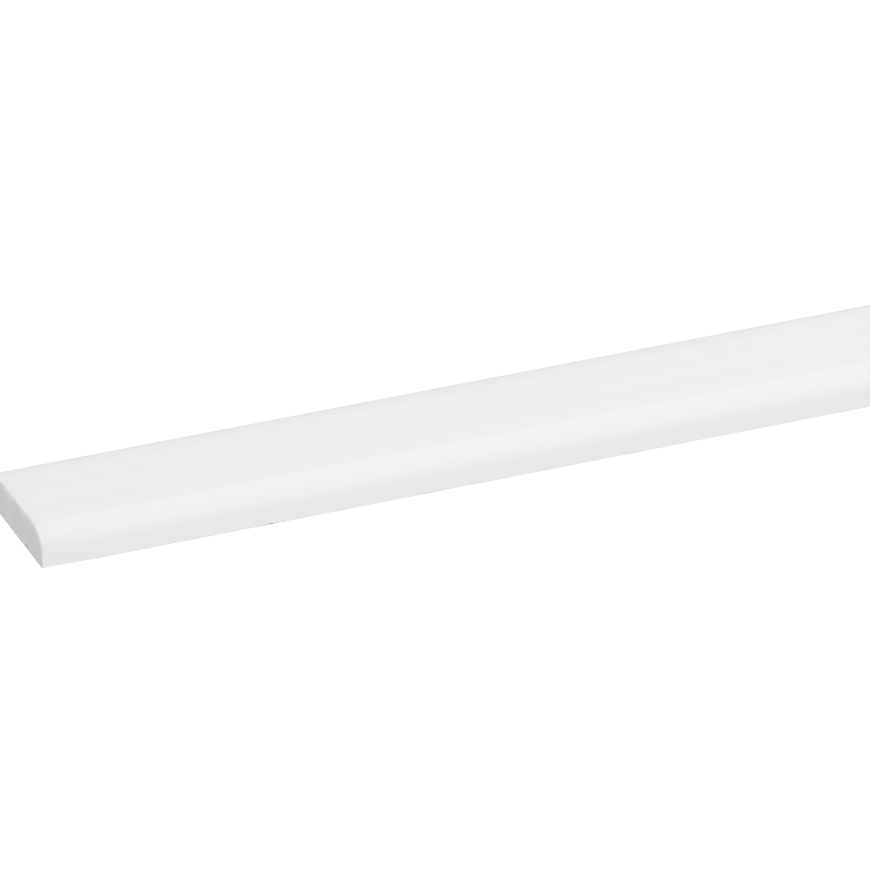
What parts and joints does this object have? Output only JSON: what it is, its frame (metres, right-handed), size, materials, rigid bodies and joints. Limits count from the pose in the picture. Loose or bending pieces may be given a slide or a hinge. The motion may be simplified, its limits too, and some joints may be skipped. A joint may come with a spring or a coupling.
{
  "type": "cover strip",
  "caption": "Straight white cover strip with a flat face, one long edge rolled over and the other left square, cut square at both ends.",
  "frame": {"origin": "middle of the flat underside", "axes": "+X along the strip's length, -Y towards the rolled front edge, +Y towards the square back edge, +Z out of the face that shows"},
  "size_m": [0.32, 0.045, 0.012],
  "materials": {
    "white_paint": "satin white paint over planed wood"
  },
  "bodies": {
    "root": {"cover_strip": "white_paint"}
  },
  "joints": []
}
